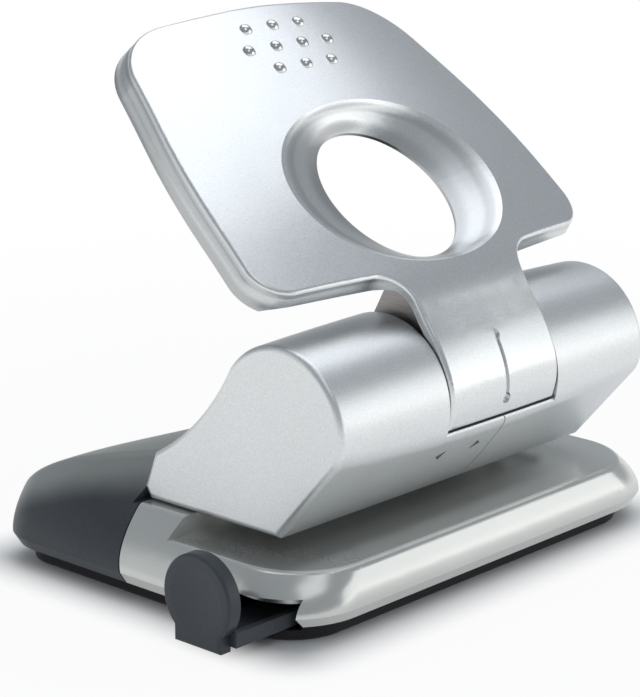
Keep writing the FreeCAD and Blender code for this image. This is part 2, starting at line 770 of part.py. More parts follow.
def grip_studs():
    """Ten domes in rows of three, four and three."""
    studs = []
    for row, count in enumerate((3, 4, 3)):
        s = stud_mid_s + (1 - row) * stud_pitch_s
        for k in range(count):
            x = (k - (count - 1) / 2.0) * stud_pitch_x
            sphere_r = (stud_r ** 2 + stud_height ** 2) / (2 * stud_height)
            foot = face_point(x, s)
            normal = Vector(0, -math.sin(tilt), math.cos(tilt))
            ball = Part.makeSphere(sphere_r, foot + normal * (stud_height - sphere_r))
            stem = Part.makeCylinder(stud_r, stud_height * 2, foot, normal)
            studs.append(ball.common(stem))
    return studs


def lever_web(side):
    """Side flange of the lever, from the axle tube out to the skin."""
    x0 = web_x
    x1 = web_x + web_thickness
    under_skin = lever_slab(web_slab).cut(lever_slab(skin + web_skin_gap))
    tip = from_plate(x0, web_reach, plate_height)
    plate = prism_x([(-FAR, axis_z - drum_r), (-FAR, axis_z + FAR), (tip.y, tip.z), (web_back_y, web_back_z),
                     (0.0, axis_z - drum_r)], x0, x1)
    web = plate.common(under_skin).common(wedge(-neck_low_deg + web_foot_deg, web_back_deg, FAR))
    web = web.fuse(rod_x(drum_r, x0, x1))
    web = web.cut(rod_x(tube_r + running_fit, x0 - PAST, x1 + PAST))
    return web if side > 0 else mirrored(web)


def lever_hub():
    """Tube on the axle with the dark drum seen through the window."""
    hub = rod_x(tube_r, -tube_half, tube_half)
    drum = rod_x(drum_r, -web_x, web_x)
    saddle = rod_x(saddle_r, -web_x, web_x)
    saddle = saddle.common(wedge(-neck_low_deg + web_foot_deg, saddle_back_deg, web_x))
    hub = hub.fuse(drum).fuse(saddle)
    return hub.cut(rod_x(axle_r + running_fit, -tube_half - PAST, tube_half + PAST)).removeSplitter()


def involute(base_r, phi):
    """Cam point that touches the pin's flat head when the lever has turned by phi."""
    drop = cam_rest_drop + base_r * phi
    return (base_r * math.cos(phi) + drop * math.sin(phi), base_r * math.sin(phi) - drop * math.cos(phi))


def cam(side):
    """Involute lobe: its touching line stays over the pin's axis through the whole stroke."""
    margin = math.radians(cam_margin_deg)
    full = math.radians(lever_angle_deg)
    steps = 9
    flank = []
    for i in range(steps + 1):
        phi = -margin + (full + 2 * margin) * i / steps
        flank.append(involute(pin_y, phi))
    x0 = side * pin_x - cam_width / 2
    pts = [Vector(x0, y, axis_z + z) for y, z in flank]
    root_low = Vector(x0, cam_root_low[0], axis_z + cam_root_low[1])
    root_high = Vector(x0, cam_root_high[0], axis_z + cam_root_high[1])
    shoulder = pts[-1] + Vector(0, *cam_shoulder)
    tip = pts[-1] + Vector(0, *cam_tip)
    outline = Part.Wire([line(root_low, pts[0]), curve(pts), line(pts[-1], tip), line(tip, shoulder),
                         line(shoulder, root_high), line(root_high, root_low)])
    lobe = Part.Face(outline).extrude(Vector(cam_width, 0, 0))
    collar = rod_x(tube_r + cam_collar_wall, x0, x0 + cam_width)
    bore = rod_x(tube_r + cam_seat, x0 - PAST, x0 + cam_width + PAST)
    return lobe.fuse(collar).cut(bore).removeSplitter()


# ---------------------------------------------------------------- mechanism on the base
def punch_pin(side):
    x = side * pin_x
    pin = rod_z(pin_r, pin_tip_z, pin_top_z - pin_head_h / 2, x, pin_y)
    # hollow-ground tip: two cutting points
    reach = pin_r + PAST
    notch = prism_x([(pin_y - reach, pin_tip_z - PAST), (pin_y - reach, pin_tip_z - NEAR),
                     (pin_y, pin_tip_z + pin_notch_rise), (pin_y + reach, pin_tip_z - NEAR),
                     (pin_y + reach, pin_tip_z - PAST)], x - reach, x + reach)
    head = rod_z(pin_head_r, pin_top_z - pin_head_h, pin_top_z, x, pin_y)
    rim = [e for e in head.Edges if isinstance(e.Curve, Part.Circle)]
    head = head.makeChamfer(pin_head_chamfer, rim)
    return pin.cut(notch).fuse(head)


def pin_spring(side):
    low = mouth_z + rail_t + block_h + spring_wire / 2 + spring_gap
    high = pin_top_z - pin_head_h - spring_wire / 2 - spring_gap
    pitch = (high - low) / spring_turns
    r = pin_r + spring_wire
    helix = Part.makeHelix(pitch, high - low, r)
    ring = Part.Wire([Part.makeCircle(spring_wire / 2, Vector(r, 0, 0), Vector(0, 1, 0))])
    spring = Part.Wire(helix.Edges).makePipeShell([ring], True, True)
    spring.translate(Vector(side * pin_x, pin_y, low))
    return spring


def guide_block(side):
    x = side * pin_x
    z0 = mouth_z + rail_t
    half_y = rail_half_y - seat_gap
    block = box(x - block_half, x + block_half, pin_y - half_y, pin_y + half_y, z0, z0 + block_h)
    corners = [e for e in block.Edges if e.BoundBox.ZLength > block_h - NEAR]
    block = block.makeFillet(block_round, corners)
    return block.cut(rod_z(pin_r + running_fit, z0 - PAST, z0 + block_h + PAST, x, pin_y))


def stripper_rail():
    half = bracket_x - rail_end_gap
    rail = box(-half, half, pin_y - rail_half_y, pin_y + rail_half_y, mouth_z, mouth_z + rail_t)
    for side in (-1, 1):
        bore = rod_z(pin_r + running_fit, mouth_z - PAST, mouth_z + rail_t + PAST, side * pin_x, pin_y)
        rail = rail.cut(bore)
    return rail


def die_block(side):
    x = side * pin_x
    z1 = table_z - cover_wall
    z0 = plate_z + plate_t
    block = box(x - die_half, x + die_half, pin_y - die_half, pin_y + die_half, z0, z1)
    neck = rod_z(pin_r + die_neck_wall, z1 - PAST, table_z, x, pin_y)
    block = block.fuse(neck)
    block = block.cut(rod_z(pin_r + die_hole_extra, z0 - PAST, table_z + PAST, x, pin_y))
    return block.cut(rod_z(chip_hole_r, z0 - PAST, z1 - die_land, x, pin_y))


def bracket(side):
    """C-shaped steel cheek: under the table, up behind the mouth and forward to the axle."""
    back = parting_foot_y + bracket_back
    spine = paper_stop_y + cover_wall + bracket_spine
    foot_top = table_z - cover_wall - bracket_table_gap
    rail_top = mouth_z + rail_t
    floor = plate_z + plate_t
    outline = [(bracket_front_y, floor), (back, floor), (back, riser_z + bracket_heel)]
    outline += [(y, axis_z + z) for y, z in bracket_head]
    outline += [(bracket_throat[0], rail_top + bracket_throat[1]), (pin_y - rail_half_y, rail_top),
                (pin_y - rail_half_y, mouth_z), (pin_y + rail_half_y, mouth_z),
                (spine, mouth_z + bracket_seat), (spine, foot_top), (bracket_front_y, foot_top)]
    cheek = prism_x(outline, bracket_x, bracket_x + bracket_t)
    cheek = cheek.cut(rod_x(axle_r + running_fit, bracket_x - PAST, bracket_x + bracket_t + PAST))
    return cheek if side > 0 else mirrored(cheek)


def axle():
    return rod_x(axle_r, -axle_half, axle_half)


def axle_clip(side):
    x0 = bracket_x + bracket_t + clip_gap
    low = x0 - PAST
    high = x0 + clip_t + PAST
    ring = rod_x(clip_r, x0, x0 + clip_t).cut(rod_x(axle_r + NEAR, low, high))
    ring = ring.cut(box(low, high, -clip_mouth_half, clip_mouth_half, axis_z - clip_r - PAST, axis_z))
    return ring if side > 0 else mirrored(ring)


def base_plate():
    """Steel plate that everything is screwed to, with holes for the chips."""
    inset = tray_inset + tray_wall + plate_rim
    outline = base_outline(base_foot_z, inset)
    plate = Part.Face(outline).extrude(Vector(0, 0, plate_t))
    plate.translate(Vector(0, 0, plate_z - base_foot_z))
    plate = plate.cut(box(-FAR, FAR, parting_top_y + plate_tail, FAR, 0, FAR))
    for side in (-1, 1):
        plate = plate.cut(rod_z(chip_hole_r, 0, riser_z, side * pin_x, pin_y))
    return plate


def screw_places():
    x_back, past_parting = screw_back
    x_front, y_front = screw_front
    y_back = parting_top_y + past_parting
    return [(-x_back, y_back), (x_back, y_back), (-x_front, y_front), (x_front, y_front)]


def base_screw(x, y):
    head = rod_z(screw_head_r, plate_z - screw_head_h, plate_z, x, y)
    reach = screw_head_r + PAST
    face = plate_z - screw_head_h
    return head.cut(box(x - reach, x + reach, y - screw_slot_half, y + screw_slot_half,
                        face - PAST, face + screw_slot_depth))


# ---------------------------------------------------------------- paper guide
def paper_guide():
    """Bar with a raised front lip, and the stop disc on its outer end."""
    inner = -guide_face_x + guide_disc_t
    disc = rod_x(guide_disc_r, -guide_face_x, inner, guide_disc_y, guide_disc_z)
    foot = box(-guide_face_x, inner, guide_disc_y - guide_foot_half, guide_disc_y + guide_foot_half,
               guide_foot_z, guide_disc_z)
    knob = disc.fuse(foot).removeSplitter()
    boxes = [(e, e.BoundBox) for e in knob.Edges]
    rims = [e for e, b in boxes if abs(b.XMin + guide_face_x) < NEAR and b.XLength < NEAR]
    knob = knob.makeFillet(guide_rim_round, rims)
    ball = Vector(-guide_face_x + guide_dish_depth - guide_dish_r, guide_disc_y, guide_disc_z)
    knob = knob.cut(Part.makeSphere(guide_dish_r, ball))
    root = inner - guide_root
    bar = box(root, guide_bar_end, guide_bar_y0, guide_bar_y1, guide_bar_z0, guide_bar_z0 + guide_bar_t)
    lip = box(root, guide_bar_end, guide_bar_y0, guide_bar_y0 + guide_bar_t, guide_bar_z0, guide_lip_z)
    return knob.fuse(bar).fuse(lip).removeSplitter()


def guide_strap(x):
    """Strap under the base plate that the guide's bar slides in."""
    x0 = x - strap_half
    x1 = x + strap_half
    y0 = guide_bar_y0 - guide_slot_fit
    y1 = guide_bar_y1 + guide_slot_fit
    floor = guide_bar_z0 - guide_slot_fit
    wrap = box(x0, x1, y0 - strap_t, y1 + strap_t, floor - strap_t, plate_z)
    wrap = wrap.fuse(box(x0, x1, y0 - strap_flange, y1 + strap_flange, plate_z - strap_t, plate_z))
    return wrap.cut(box(x0 - PAST, x1 + PAST, y0, y1, floor, plate_z + PAST)).removeSplitter()


NODES = {}


def build():
    NODES["base_cover"] = base_cover()
    NODES["rear_cover"] = rear_cover()
    NODES["chip_tray"] = chip_tray()
    NODES["base_plate"] = base_plate()
    for i, x in enumerate(strap_places):
        NODES["guide_strap_%d" % (i + 1)] = guide_strap(x)
    for i, (x, y) in enumerate(screw_places()):
        NODES["base_screw_%d" % (i + 1)] = base_screw(x, y)
    NODES["housing_left"] = housing(False)
    NODES["housing_right"] = housing(True)
    NODES["lever_plate"] = lever_plate()
    NODES["lever_hub"] = lever_hub()
    for i, stud in enumerate(grip_studs()):
        NODES["grip_stud_%02d" % (i + 1)] = stud
    NODES["axle"] = axle()
    NODES["stripper_rail"] = stripper_rail()
    NODES["paper_guide"] = paper_guide()
    for side, name in ((-1, "left"), (1, "right")):
        NODES["lever_web_" + name] = lever_web(side)
        NODES["cam_" + name] = cam(side)
        NODES["punch_pin_" + name] = punch_pin(side)
        NODES["pin_spring_" + name] = pin_spring(side)
        NODES["guide_block_" + name] = guide_block(side)
        NODES["die_block_" + name] = die_block(side)
        NODES["bracket_" + name] = bracket(side)
        NODES["axle_clip_" + name] = axle_clip(side)


os.makedirs("parts", exist_ok=True)
build()
for node_name, node_shape in NODES.items():
    export(node_name, node_shape)
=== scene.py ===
"""Looks of the desk punch: finishes, printed arrows, coil springs, studio and camera."""
import json
import math

import bpy
from bpy.props import FloatProperty, FloatVectorProperty, PointerProperty
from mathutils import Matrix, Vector


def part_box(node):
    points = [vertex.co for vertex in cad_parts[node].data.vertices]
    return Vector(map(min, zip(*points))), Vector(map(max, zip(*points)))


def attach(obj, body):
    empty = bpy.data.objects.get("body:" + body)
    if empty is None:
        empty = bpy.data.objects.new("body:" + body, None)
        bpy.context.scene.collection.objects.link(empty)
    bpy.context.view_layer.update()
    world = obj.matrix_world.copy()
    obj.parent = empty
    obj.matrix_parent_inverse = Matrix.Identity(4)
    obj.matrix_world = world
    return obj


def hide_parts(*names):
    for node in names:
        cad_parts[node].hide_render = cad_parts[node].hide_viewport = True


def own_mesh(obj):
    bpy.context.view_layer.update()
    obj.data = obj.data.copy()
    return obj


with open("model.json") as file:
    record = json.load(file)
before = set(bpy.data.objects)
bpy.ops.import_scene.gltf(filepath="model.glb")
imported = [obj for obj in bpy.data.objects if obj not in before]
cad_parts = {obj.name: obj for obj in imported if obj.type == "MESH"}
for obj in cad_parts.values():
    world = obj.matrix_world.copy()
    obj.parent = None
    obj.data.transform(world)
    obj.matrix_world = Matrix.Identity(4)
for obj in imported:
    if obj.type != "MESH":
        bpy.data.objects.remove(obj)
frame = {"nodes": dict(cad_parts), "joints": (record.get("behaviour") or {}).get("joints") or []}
NODES = frame["nodes"]
JOINTS = {joint["name"]: joint for joint in frame["joints"]}
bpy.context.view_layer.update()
MM = 0.001
WHITE = (1.0, 1.0, 1.0, 1.0)

bl_info = {
    "name": "Desk punch",
    "version": (1, 0, 0),
    "blender": (4, 5, 0),
    "location": "View3D > Sidebar > Punch",
    "description": "Finishes and small visible pieces of a two-hole desk punch",
    "category": "Object",
}

# ---------------------------------------------------------------- lines of the part, in metres
# the lever's face: its tilt, its height over the axle, and the place along it that its bow falls off from
AXIS_Z = JOINTS["lever_swing"]["pos_m"][2]
PLATE_TILT = math.radians(40.0)
PLATE_HEIGHT = 0.0274
PLATE_MIDDLE = 0.050
PLATE_BOW = 1.1              # lengthwise drop, per metre squared
PLATE_CROWN = 1.28           # crosswise drop at the axle, per metre squared
PLATE_CROWN_GAIN = 8.0       # and what each metre along the plate adds to it
# the face's rolled rim: it sets in along this stretch of the plate, and its crease and its bulge
# come in and go out between these depths under the face
RIM_START = (0.012, 0.022)
CREASE_IN = (0.0004, 0.0012)
CREASE_OUT = (0.0014, 0.0024)
CREASE_DEPTH = 0.00008
BULGE_IN = (0.0015, 0.0036)
BULGE_OUT = (0.0036, 0.0058)
BULGE_HEIGHT = 0.00022
# painted shade on the rim: darkened by this share in the crease, and by these shares once these depths are
# passed
CREASE_PAINTED_SHADE = 0.45
RIM_PAINTED_SHADE = (((0.0012, 0.0020), 0.22), ((0.0032, 0.0048), 0.38))
RIM_SHADE = 0.42             # colour of the rim's painted shade, as a share of the face's
# how far up from the plate a surface faces: at the first it is all underside, at the second not at all
UNDERSIDE = (-0.45, -0.2)
# the tail's crest, seen from the side: height, place along Y, and bend
CREST_Z = 0.0295
CREST_Y = 0.038
CREST_BEND = 6.0
SHEEN_BAND = 0.0095          # how far the painted sheen along the crest reaches down
SHEEN_FULL = SHEEN_BAND * 0.15  # the painted sheen is at its lightest down to here
SHEEN_WOBBLE = 0.003         # how far the band's lower edge wanders
# the arrows on the sliding shell
ARROWS_X = -0.009            # middle between the two
ARROWS_Z = 0.0336
INK_THICKNESS = 0.00003
BEFORE_SHELL = -0.1          # a place in front of the shell, along Y

# ---------------------------------------------------------------- shares and counts
ARROW_HALF_WIDTH = 0.6       # of an arrow's length
ARROW_ROWS = 6
SPRING_POINTS = 28           # in each turn of a spring's line
SPRING_FLAT = 0.8            # turns at each end of a spring that lie flat
WIRE_SIDES = 10

# ---------------------------------------------------------------- numbers that finishes share
FLAKE_GRAIN = 2600.0         # metallic flakes of the silver paint, per metre
PAINT_METALLIC = 0.92
HOLLOW_METALLIC = 0.12       # of the lever's dark underside
HOLLOW_ROUGHER = 0.2         # and how much rougher it is
SPARK_GRAIN = 1400.0         # spark-eroded texture of the plastics, per metre
SPARK_DEPTH = 0.00003
LEVEL_LINES = (1.0, 1.0, 30.0)  # how drawn lines are squeezed together along each axis: level ones
CROSS_LINES = (30.0, 1.0, 1.0)  # ones square to the barrel
NO_LINES = (1.0, 1.0, 1.0)   # and no lines at all

# ---------------------------------------------------------------- studio
# soft boxes around the part: name, place, width, height, brightness of their face, colour
LAMPS = (("overhead", (0.36, 0.22, 1.07), 1.02, 1.02, 1.28, (0.94, 0.96, 1.0)),
         ("front", (0.80, -0.86, 0.31), 0.95, 0.56, 1.16, (1.0, 1.0, 0.98)),
         ("fill", (-0.20, -0.55, 0.93), 0.50, 0.50, 0.80, (1.0, 1.0, 1.0)),
         ("left", (-0.92, 0.58, 0.48), 0.80, 0.80, 0.42, (1.0, 1.0, 0.97)))
LAMP_AIM = (0.0, 0.02, 0.05)
AMBIENT = 0.38
AMBIENT_TINT = (0.88, 0.94, 1.0, 1.0)
LOW_BAND = (0.02, 0.14)      # from the horizon up, where reflections of the white backdrop fade out
SHADOW_REACH = 0.018         # the floor's shadow fades out to this far from the tray
SHADOW_KEPT = 0.07           # and keeps this share beyond
FLOOR_NEAR = 0.05            # until the floor turns to plain white from here
FLOOR_FAR = 0.35             # to here
MIRROR_NEAR = 0.35           # share of plain white in the floor's reflection beside the tray
MIRROR_FAR = 0.09            # and it is all white from this far on
SENSOR = 24.0
CAMERA_FOCAL = 86.32
CAMERA_AZIMUTH = -47.47
CAMERA_ELEVATION = 15.24
CAMERA_DISTANCE = 0.55628
CAMERA_TARGET = (-0.04165, 0.0, 0.06193)
CAMERA_SEES = (0.01, 50.0)   # nearest and farthest place that is drawn


# ---------------------------------------------------------------- shader helpers
class Value:
    """A number in a shader, on which plain arithmetic adds Math nodes."""

    def __init__(self, shader, socket):
        self.shader = shader
        self.socket = socket

    def _math(self, operation, first, second):
        node = self.shader.node("ShaderNodeMath", {"operation": operation}, {0: first, 1: second})
        return Value(self.shader, node.outputs[0])

    def __add__(self, other):
        return self._math("ADD", self, other)

    def __radd__(self, other):
        return self._math("ADD", other, self)

    def __sub__(self, other):
        return self._math("SUBTRACT", self, other)

    def __rsub__(self, other):
        return self._math("SUBTRACT", other, self)

    def __mul__(self, other):
        return self._math("MULTIPLY", self, other)

    def __rmul__(self, other):
        return self._math("MULTIPLY", other, self)

    def ramp(self, low, high, out_low=0.0, out_high=1.0):
        """Smooth ramp from out_low at low to out_high at high, level beyond both."""
        node = self.shader.node("ShaderNodeMapRange", {"interpolation_type": "SMOOTHSTEP"},
                                {"Value": self, "From Min": low, "From Max": high,
                                 "To Min": out_low, "To Max": out_high})
        return Value(self.shader, node.outputs["Result"])


class Shader:
    """The node tree of a material or of the world."""

    def __init__(self, owner):
        owner.use_nodes = True
        self.owner = owner
        self.tree = owner.node_tree
        self.tree.nodes.clear()

    def node(self, kind, settings=None, inputs=None):
        """Adds a node: its settings first, then the values or links of its sockets."""
        made = self.tree.nodes.new(kind)
        for key, value in (settings or {}).items():
            setattr(made, key, value)
        for key, value in (inputs or {}).items():
            socket = made.inputs[key]
            if isinstance(value, Value):
                value = value.socket
            if isinstance(value, bpy.types.NodeSocket):
                self.tree.links.new(value, socket)
            else:
                socket.default_value = value
        return made

    def place(self):
        """Coordinates in the part's own frame, in metres."""
        return self.node("ShaderNodeTexCoord").outputs["Object"]

    def stretched(self, scale):
        """The same coordinates, scaled along each axis."""
        return self.node("ShaderNodeMapping", {}, {"Vector": self.place(), "Scale": scale}).outputs[0]

    def parts(self, vector):
        """The three numbers of a vector."""
        made = self.node("ShaderNodeSeparateXYZ", {}, {0: vector})
        return [Value(self, output) for output in made.outputs]

    def facing(self):
        """The surface's normal in the piece's own frame, as three numbers."""
        return self.parts(self.node("ShaderNodeTexCoord").outputs["Normal"])

    def noise(self, scale, detail=3.0, roughness=0.5, vector=None):
        """Soft noise from 0 to 1, with about scale cells per metre."""
        made = self.node("ShaderNodeTexNoise", {"noise_dimensions": "3D"},
                         {"Vector": vector or self.place(), "Scale": scale, "Detail": detail,
                          "Roughness": roughness})
        return Value(self, made.outputs[0])

    def mix(self, share, first, second):
        """Mix of two colours by share."""
        made = self.node("ShaderNodeMix", {"data_type": "RGBA"},
                         {"Factor": share, "A": first, "B": second})
        return made.outputs[2]

    def bump(self, height, distance, strength=1.0, normal=None):
        """Normal of a surface raised by height times distance, on top of another normal if one is given."""
        inputs = {"Height": height, "Distance": distance, "Strength": strength}
        if normal is not None:
            inputs["Normal"] = normal
        return self.node("ShaderNodeBump", {}, inputs).outputs[0]

    def principled(self, **inputs):
        """Principled surface. Its sockets are named with _ for the spaces."""
        named = {key.replace("_", " "): value for key, value in inputs.items()}
        return self.node("ShaderNodeBsdfPrincipled", {}, named).outputs[0]

    def vector_math(self, operation, first, second=None):
        """Node that works on two vectors, or on one."""
        inputs = {0: first} if second is None else {0: first, 1: second}
        return self.node("ShaderNodeVectorMath", {"operation": operation}, inputs)

    def distance(self, middle, half):
        """How far the shaded point lies outside a box given by its middle and half its size."""
        offset = self.vector_math("SUBTRACT", self.place(), middle).outputs[0]
        from_middle = self.vector_math("ABSOLUTE", offset).outputs[0]
        past = self.vector_math("SUBTRACT", from_middle, half).outputs[0]
        outside = self.vector_math("MAXIMUM", past).outputs[0]
        return Value(self, self.vector_math("LENGTH", outside).outputs["Value"])

    def ray_kind(self, output):
        """1 for the kind of ray that the Light Path output names, else 0."""
        return Value(self, self.node("ShaderNodeLightPath").outputs[output])

    def mix_surface(self, share, first, second):
        """Mix of two surfaces or backgrounds by share."""
        return self.node("ShaderNodeMixShader", {}, {0: share, 1: first, 2: second}).outputs[0]

    def finish(self, surface, output="ShaderNodeOutputMaterial"):
        """Makes surface the result, and gives back the material or world."""
        self.node(output, {}, {"Surface": surface})
        return self.owner


def rgba(colour):
    """Colour with full alpha, as sockets want it."""
    return (colour[0], colour[1], colour[2], 1.0)


def shade(colour, factor):
    """Colour made lighter or darker by a factor."""
    return (colour[0] * factor, colour[1] * factor, colour[2] * factor, 1.0)


def coat(names, material):
    """Gives CAD nodes a material in each of their slots."""
    for name in names:
        node = NODES[name]
        if not node.material_slots:
            node.data.materials.append(material)
        for slot in node.material_slots:
            slot.material = material


def nodes_like(prefix):
    """Names of the CAD nodes that start with prefix."""
    return sorted(name for name in NODES if name.startswith(prefix))


# ---------------------------------------------------------------- finishes
def paint_grain(s, colour, roughness):
    """Colour, roughness and normal of satin metallic paint with flakes and a soft orange peel."""
    flakes = s.noise(FLAKE_GRAIN, detail=2.0, roughness=0.6)
    cloud = s.noise(28.0)
    base = s.mix(flakes.ramp(0.35, 0.65), shade(colour, 0.93), shade(colour, 1.05))
    base = s.mix(cloud.ramp(0.3, 0.7) * 0.12, base, shade(colour, 0.9))
    rough = roughness + (flakes - 0.5) * 0.10 + (cloud - 0.5) * 0.06
    normal = s.bump(flakes, distance=0.00002, strength=0.35)
    peel = s.noise(900.0, detail=2.0)
    normal = s.bump(peel, distance=0.00004, strength=0.35, normal=normal)
    return base, rough, normal


def barrel_paint(name, colour, roughness):
    """Satin silver paint of the barrel's two shells."""
    s = Shader(bpy.data.materials.new(name))
    base, rough, normal = paint_grain(s, colour, roughness)
    return s.finish(s.principled(Base_Color=base, Metallic=PAINT_METALLIC, Roughness=rough, Normal=normal))


def plate_depth(s):
    """How far a point lies under the plate's face, in metres, and how far it is along the plate."""
    x, y, z = s.parts(s.place())
    up = z - AXIS_Z
    along = y * math.cos(PLATE_TILT) + up * math.sin(PLATE_TILT)
    height = up * math.cos(PLATE_TILT) - y * math.sin(PLATE_TILT)
    bow = (along - PLATE_MIDDLE) * (along - PLATE_MIDDLE) * PLATE_BOW
    crown = (along * PLATE_CROWN_GAIN + PLATE_CROWN) * x * x
    return PLATE_HEIGHT - bow - crown - height, along


def lever_paint(name, colour, inside, roughness):
    """The same paint on the lever, with painted shade in the crease and on the rolled rim, and dark on the
    hollow underside.
    """
    s = Shader(bpy.data.materials.new(name))
    base, rough, normal = paint_grain(s, colour, roughness)
    depth, along = plate_depth(s)
    on_plate = along.ramp(*RIM_START)
    crease = depth.ramp(*CREASE_IN) - depth.ramp(*CREASE_OUT)
    bulge = depth.ramp(*BULGE_IN) - depth.ramp(*BULGE_OUT)
    relief = (bulge * BULGE_HEIGHT - crease * CREASE_DEPTH) * on_plate
    normal = s.bump(relief, distance=1.0, normal=normal)
    # painted shade: the base colour is darkened in the crease and on the outer rim, where shade falls
    painted_shade = crease * CREASE_PAINTED_SHADE
    for depths, share in RIM_PAINTED_SHADE:
        painted_shade = painted_shade + depth.ramp(*depths) * share
    base = s.mix(painted_shade * on_plate, base, shade(colour, RIM_SHADE))
    _, y, z = s.facing()
    outward = z * math.cos(PLATE_TILT) - y * math.sin(PLATE_TILT)
    under = outward.ramp(*UNDERSIDE, out_low=1.0, out_high=0.0)
    base = s.mix(under, base, rgba(inside))
    metallic = PAINT_METALLIC - under * (PAINT_METALLIC - HOLLOW_METALLIC)
    return s.finish(s.principled(Base_Color=base, Metallic=metallic,
                                 Roughness=rough + under * HOLLOW_ROUGHER, Normal=normal))


def polished_silver(name, colour, roughness):
    """Bright metallised cover with a faint drawn grain and light wear."""
    s = Shader(bpy.data.materials.new(name))
    cloud = s.noise(22.0)
    fine = s.noise(1800.0, detail=2.0)
    base = s.mix(cloud.ramp(0.3, 0.7), shade(colour, 0.97), shade(colour, 1.02))
    rough = roughness + (fine - 0.5) * 0.05 + (cloud - 0.5) * 0.04
    wave = s.noise(60.0, detail=2.0)
    normal = s.bump(wave, distance=0.00012, strength=0.12)
    return s.finish(s.principled(Base_Color=base, Metallic=0.68, Roughness=rough, Normal=normal))


def spark_texture(s):
    """Fine spark-eroded texture and broad cloud of a moulded plastic, and the normal of the first."""
    fine = s.noise(SPARK_GRAIN, roughness=0.6)
    cloud = s.noise(35.0)
    return fine, cloud, s.bump(fine, distance=SPARK_DEPTH, strength=0.6)


def moulded_plastic(name, colour, roughness, gloss=0.5):
    """Matt moulded plastic with a fine spark-eroded texture."""
    s = Shader(bpy.data.materials.new(name))
    fine, cloud, normal = spark_texture(s)
    base = s.mix(fine.ramp(0.3, 0.7), shade(colour, 0.88), shade(colour, 1.12))
    base = s.mix(cloud.ramp(0.35, 0.7) * 0.3, base, shade(colour, 1.25))
    rough = roughness + (cloud - 0.5) * 0.12
    return s.finish(s.principled(Base_Color=base, Roughness=rough, Specular_IOR_Level=gloss, Normal=normal))


def tail_plastic(name, colour, painted_sheen_colour, roughness):
    """Soft matt plastic with a painted sheen, a lighter band, along the tail's crest."""
    s = Shader(bpy.data.materials.new(name))
    fine, cloud, normal = spark_texture(s)
    _, y, z = s.parts(s.place())
    crest = CREST_Z - (y - CREST_Y) * (y - CREST_Y) * CREST_BEND
    level = z - crest + (cloud - 0.5) * SHEEN_WOBBLE
    base = s.mix(fine.ramp(0.3, 0.7), shade(colour, 0.9), shade(colour, 1.1))
    # painted sheen: the base colour turns lighter along the crest, where light glances off the top
    base = s.mix(level.ramp(-SHEEN_BAND, -SHEEN_FULL), base, rgba(painted_sheen_colour))
    rough = roughness + (cloud - 0.5) * 0.1
    return s.finish(s.principled(Base_Color=base, Roughness=rough, Normal=normal))


def plain_steel(name, colour, roughness, lines=LEVEL_LINES):
    """Worked steel with drawn lines along one direction."""
    s = Shader(bpy.data.materials.new(name))
    drawn = s.noise(160.0, detail=4.0, roughness=0.6, vector=s.stretched(lines))
    cloud = s.noise(50.0)
    base = s.mix(drawn.ramp(0.35, 0.65), shade(colour, 0.88), shade(colour, 1.08))
    rough = roughness + (drawn - 0.5) * 0.2 + (cloud - 0.5) * 0.1
    normal = s.bump(drawn, distance=0.00002, strength=0.4)
    return s.finish(s.principled(Base_Color=base, Metallic=1.0, Roughness=rough, Normal=normal))


def printed_ink(name, colour):
    """Printed ink, paler where it is worn."""
    s = Shader(bpy.data.materials.new(name))
    wear = s.noise(2500.0)
    base = s.mix(wear.ramp(0.4, 0.7), rgba(colour), shade(colour, 1.6))
    return s.finish(s.principled(Base_Color=base, Roughness=0.45 + (wear - 0.5) * 0.2))


# ---------------------------------------------------------------- sizes and colours to set
def length_setting(name, millimetres, text):
    """Property that holds a length."""
    return FloatProperty(name=name, description=text, default=millimetres * MM, unit="LENGTH", precision=5)


def colour_setting(name, value, text):
    """Property that holds a colour."""
    return FloatVectorProperty(name=name, description=text, default=value, subtype="COLOR", min=0.0, max=1.0)


class PunchSizes(bpy.types.PropertyGroup):
    """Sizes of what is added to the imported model"""
    spring_wire: length_setting("Spring wire", 0.9, "Diameter of the return springs' wire")
    spring_turns: FloatProperty(name="Spring turns", description="Turns of each return spring", default=6.0)
    arrow_length: length_setting("Arrow length", 2.4, "Length of the lock arrows")
    arrow_gap: length_setting("Arrow gap", 11.0, "Distance between the lock arrows' feet")
    floor_size: length_setting("Floor", 6000.0, "Width of the floor")


class PunchColours(bpy.types.PropertyGroup):
    """Colours of the punch and its floor"""
    silver: colour_setting("Silver paint", (0.76, 0.78, 0.79), "Paint of the lever and the barrel")
    cover: colour_setting("Base cover", (0.66, 0.67, 0.65), "Metallised cover of the base")
    anthracite: colour_setting("Anthracite", (0.040, 0.048, 0.058), "Tail and paper guide")
    # the tail crest colour is a painted sheen along the top of the tail
    crest: colour_setting("Tail crest", (0.31, 0.33, 0.32), "Lighter top of the tail")
    tray: colour_setting("Tray", (0.026, 0.025, 0.028), "Chip tray")
    arm: colour_setting("Lever arms", (0.34, 0.33, 0.32), "Steel arms under the lever")
    inside: colour_setting("Lever inside", (0.10, 0.10, 0.11), "Underside of the lever's plate")
    steel: colour_setting("Steel", (0.55, 0.56, 0.56), "Inner steel parts and springs")
    chrome: colour_setting("Chrome", (0.72, 0.72, 0.71), "Domes on the lever")
    hub: colour_setting("Hub", (0.02, 0.021, 0.023), "Drum and tube on the axle")
    block: colour_setting("Guide blocks", (0.03, 0.03, 0.03), "Guides that the pins run in")
    ink: colour_setting("Ink", (0.06, 0.07, 0.08), "Printed arrows")
    floor: colour_setting("Floor", (0.93, 0.93, 0.93), "Floor where it isn't plain white")


def sizes():
    """The sizes as they are set now."""
    return bpy.context.scene.punch_sizes


def colours():
    """The colours as they are set now."""
    return bpy.context.scene.punch_colours


